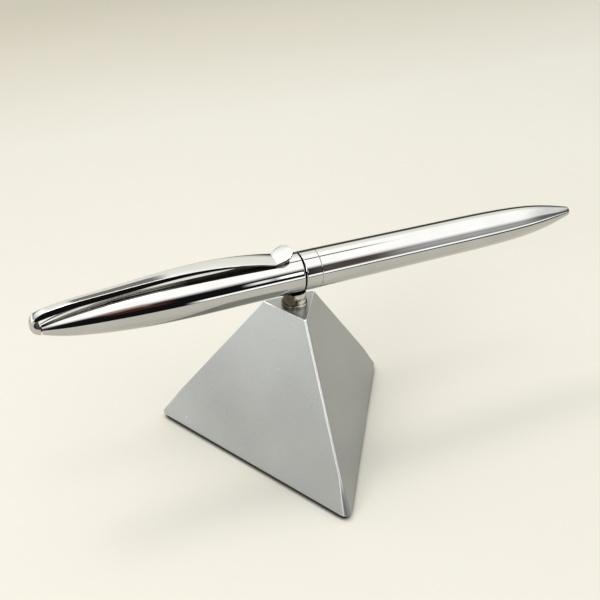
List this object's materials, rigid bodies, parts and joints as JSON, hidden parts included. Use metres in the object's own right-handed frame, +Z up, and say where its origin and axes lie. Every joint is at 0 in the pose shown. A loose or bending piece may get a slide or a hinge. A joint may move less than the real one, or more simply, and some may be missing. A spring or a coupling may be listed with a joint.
{
  "type": "pen stand",
  "caption": "Three-sided pyramid desk stand whose magnetic post balances a level chrome twist ballpoint pen, free to turn and lift off.",
  "frame": {"origin": "on the post's axis, at the centre of the pad's underside, on the surface that the stand rests on", "axes": "+Z up along the post, +X along the pen towards its writing tip, the stand's front ridge towards -Y"},
  "size_m": [0.1416, 0.0554, 0.0568],
  "materials": {
    "chrome_plate": "mirror-bright chrome plate on brass",
    "silver_lacquer": "satin silver-grey lacquer with fine metallic grain",
    "nickel_plate": "polished nickel plate, slightly warm",
    "magnet_plate": "nickel-plated sintered magnet",
    "bright_steel": "bright zinc-plated steel",
    "turned_brass": "turned brass",
    "tip_nickel": "nickel silver, turned",
    "white_acetal": "natural white acetal",
    "ring_rubber": "black nitrile rubber",
    "black_pad": "matt black rubber sheet"
  },
  "bodies": {
    "stand": {"pyramid_body": "silver_lacquer", "ballast_plate": "bright_steel", "plate_screws": "bright_steel", "base_pad": "black_pad", "magnet_cup": "nickel_plate", "post_washer": "bright_steel", "post_nut": "bright_steel"},
    "magnet": {"post_magnet": "magnet_plate"},
    "pen_upper": {"upper_barrel": "chrome_plate", "clip_rivet": "turned_brass", "coupling_bush": "bright_steel", "friction_ring": "ring_rubber", "cam_sleeve": "turned_brass"},
    "clip": {"clip": "chrome_plate"},
    "pen_front": {"front_barrel": "chrome_plate", "center_band": "chrome_plate", "guide_tube": "turned_brass"},
    "refill": {"slider": "white_acetal", "refill_collar": "white_acetal", "refill_tube": "turned_brass", "refill_tip": "tip_nickel", "refill_ball": "bright_steel"}
  },
  "joints": [
    {"name": "pen_turn", "type": "hinge", "parent": "stand", "child": "magnet", "pos_m": [0, 0, 0.0438], "axis": [0, 0, 1], "continuous": true},
    {"name": "pen_lift", "type": "slide", "parent": "magnet", "child": "pen_upper", "axis": [0, 0, 1], "range_m": [0, 0.06]},
    {"name": "pen_twist", "type": "hinge", "parent": "pen_upper", "child": "pen_front", "pos_m": [0.00135, 0, 0.04879], "axis": [-1, 0, 0], "range_deg": [0, 180]},
    {"name": "refill_advance", "type": "slide", "parent": "pen_front", "child": "refill", "axis": [1, 0, 0], "range_m": [0, 0.0045]},
    {"name": "clip_flex", "type": "hinge", "parent": "pen_upper", "child": "clip", "pos_m": [-0.06056, -0.00024, 0.0511], "axis": [0, -0.9945, -0.1045], "range_deg": [0, 2.5], "stiffness_Nm_per_rad": 2}
  ],
  "couplings": [
    {"joint": "refill_advance", "follows": "pen_twist", "m_per_rad": 0.0014324}
  ]
}
